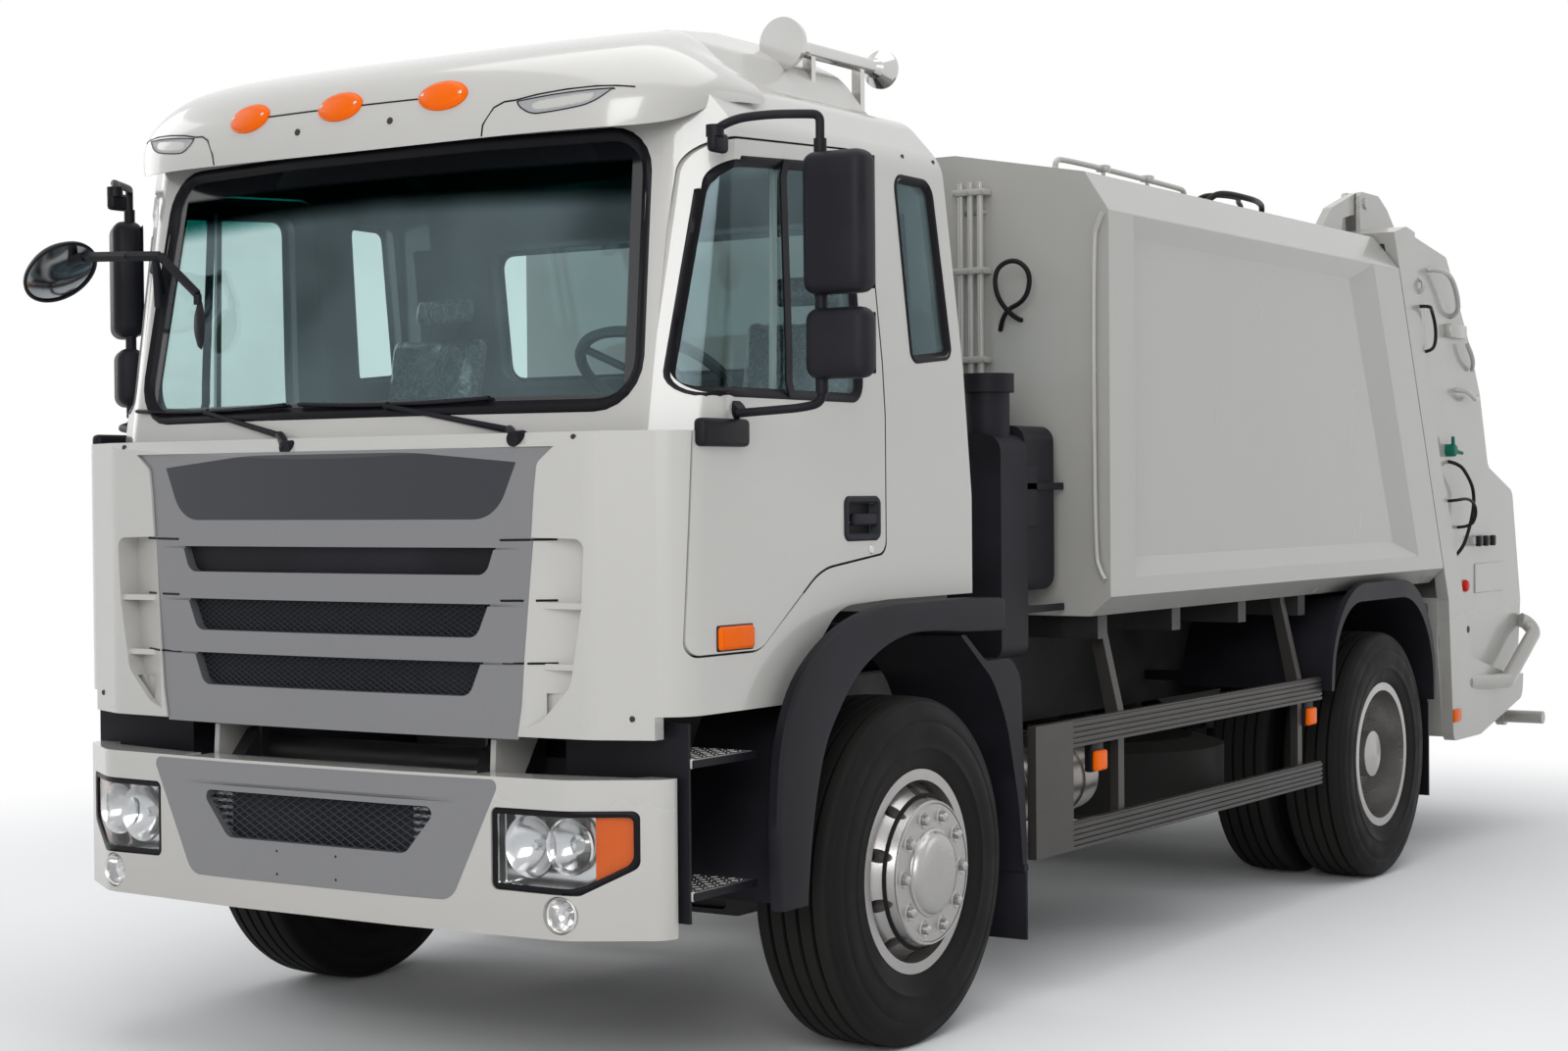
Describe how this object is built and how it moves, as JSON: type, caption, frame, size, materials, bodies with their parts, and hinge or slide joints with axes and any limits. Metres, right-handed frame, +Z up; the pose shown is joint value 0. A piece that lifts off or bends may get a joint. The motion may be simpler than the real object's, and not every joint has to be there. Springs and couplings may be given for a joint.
{
  "type": "rear-loading garbage truck",
  "caption": "White rear-loading garbage truck with a tilting cab, steered front wheels, twin rear wheels and a lifting tailgate with packer and bin lift.",
  "frame": {"origin": "on the ground under the middle of the truck's length and width", "axes": "+X forward, +Y to the truck's left, +Z up; the wheels turn about Y"},
  "size_m": [7.1936, 2.978, 3.016],
  "materials": {
    "cab_white": "gloss clear coat",
    "body_white": "gloss paint",
    "chassis_black": "satin black paint",
    "plastic_black": "matt moulded black",
    "silver_trim": "satin silver paint",
    "dark_trim": "dark grey gloss",
    "glass": "tinted clear",
    "lamp": "clear lamp lens",
    "amber": "amber lens",
    "chrome": "mirror polished",
    "aluminium": "polished",
    "guard_aluminium": "dark anodised",
    "tyre": "new rubber",
    "cast_iron": "black enamelled casting",
    "tank_steel": "satin",
    "seat_fabric": "grey woven seat cloth",
    "cab_plastic": "grained interior moulding"
  },
  "bodies": {
    "chassis": {"chassis_frame": "chassis_black", "front_axle": "cast_iron", "rear_axle": "cast_iron", "leaf_springs": "chassis_black", "engine_block": "cast_iron", "gearbox_and_shaft": "cast_iron", "tanks": "tank_steel", "spare_wheel": "tyre", "exhaust": "tank_steel", "side_guards": "guard_aluminium", "bumper": "cab_white", "bumper_centre": "silver_trim", "headlamps": "lamp", "cab_steps": "plastic_black", "front_fenders": "plastic_black", "rear_fenders": "plastic_black", "air_intake": "plastic_black", "body_pipes": "body_white", "body_floor": "body_white", "body_side_left": "body_white", "body_side_right": "body_white", "body_roof": "body_white", "body_front_wall": "body_white"},
    "steer_left": {"knuckle_left": "cast_iron"},
    "steer_right": {"knuckle_right": "cast_iron"},
    "front_wheel_left": {"front_tyre_left": "tyre", "front_rim_left": "aluminium"},
    "front_wheel_right": {"front_tyre_right": "tyre", "front_rim_right": "aluminium"},
    "rear_wheels_left": {"rear_tyres_left": "tyre", "rear_rims_left": "aluminium"},
    "rear_wheels_right": {"rear_tyres_right": "tyre", "rear_rims_right": "aluminium"},
    "cab": {"cab_shell": "cab_white", "cab_glass": "glass", "grille": "silver_trim", "grille_mesh": "plastic_black", "nose_panel": "dark_trim", "sun_visor": "cab_white", "marker_lamps": "amber", "horns": "chrome", "front_mirror": "plastic_black", "wipers": "plastic_black", "seats": "seat_fabric", "dashboard": "cab_plastic"},
    "hand_wheel": {"steering_wheel": "cab_plastic"},
    "left_door": {"door_left": "cab_white", "door_glass_left": "glass", "door_mirrors_left": "plastic_black"},
    "right_door": {"door_right": "cab_white", "door_glass_right": "glass", "door_mirrors_right": "plastic_black"},
    "ejector": {"ejector_plate": "body_white"},
    "tailgate": {"tail_side_left": "body_white", "tail_side_right": "body_white", "tail_roof": "body_white", "hopper": "body_white"},
    "packer_carriage": {"packer_slide": "body_white"},
    "packer": {"packer_blade": "body_white"},
    "bin_lifter": {"bin_lift": "body_white"}
  },
  "joints": [
    {"name": "steer_left_turn", "type": "hinge", "parent": "chassis", "child": "steer_left", "pos_m": [2.33, 0.885, 0.51], "axis": [0, 0, 1], "range_deg": [-35, 35]},
    {"name": "steer_right_turn", "type": "hinge", "parent": "chassis", "child": "steer_right", "pos_m": [2.33, -0.885, 0.51], "axis": [0, 0, 1], "range_deg": [-35, 35]},
    {"name": "front_left_spin", "type": "hinge", "parent": "steer_left", "child": "front_wheel_left", "pos_m": [2.33, 1.059, 0.51], "axis": [0, 1, 0], "continuous": true},
    {"name": "front_right_spin", "type": "hinge", "parent": "steer_right", "child": "front_wheel_right", "pos_m": [2.33, -1.059, 0.51], "axis": [0, 1, 0], "continuous": true},
    {"name": "rear_left_spin", "type": "hinge", "parent": "chassis", "child": "rear_wheels_left", "pos_m": [-1.47, 0.928, 0.51], "axis": [0, 1, 0], "continuous": true},
    {"name": "rear_right_spin", "type": "hinge", "parent": "chassis", "child": "rear_wheels_right", "pos_m": [-1.47, -0.928, 0.51], "axis": [0, 1, 0], "continuous": true},
    {"name": "cab_tilt", "type": "hinge", "parent": "chassis", "child": "cab", "pos_m": [3.43, 0, 0.79], "axis": [0, 1, 0], "range_deg": [0, 45]},
    {"name": "hand_wheel_turn", "type": "hinge", "parent": "cab", "child": "hand_wheel", "pos_m": [2.97, 0.72, 1.94], "axis": [-0.5299, 0, 0.848], "range_deg": [-420, 420]},
    {"name": "left_door_swing", "type": "hinge", "parent": "cab", "child": "left_door", "pos_m": [3.384, 1.12, 1.8], "axis": [0, 0, -1], "range_deg": [0, 70]},
    {"name": "right_door_swing", "type": "hinge", "parent": "cab", "child": "right_door", "pos_m": [3.384, -1.12, 1.8], "axis": [0, 0, 1], "range_deg": [0, 70]},
    {"name": "ejector_push", "type": "slide", "parent": "chassis", "child": "ejector", "axis": [-1, 0, 0], "range_m": [0, 2.3]},
    {"name": "tailgate_lift", "type": "hinge", "parent": "chassis", "child": "tailgate", "pos_m": [-1.73, 0, 2.835], "axis": [0, 1, 0], "range_deg": [0, 85]},
    {"name": "carriage_lift", "type": "slide", "parent": "tailgate", "child": "packer_carriage", "axis": [0.3974, 0, 0.9177], "range_m": [0, 0.35]},
    {"name": "packer_swing", "type": "hinge", "parent": "packer_carriage", "child": "packer", "pos_m": [-2.43, 0, 1.4], "axis": [0, 1, 0], "range_deg": [0, 70]},
    {"name": "bin_lifter_swing", "type": "hinge", "parent": "tailgate", "child": "bin_lifter", "pos_m": [-3.415, 0, 1.075], "axis": [0, 1, 0], "range_deg": [0, 120]}
  ],
  "couplings": [
    {"joint": "steer_right_turn", "follows": "steer_left_turn", "ratio": 1},
    {"joint": "hand_wheel_turn", "follows": "steer_left_turn", "ratio": 12}
  ]
}
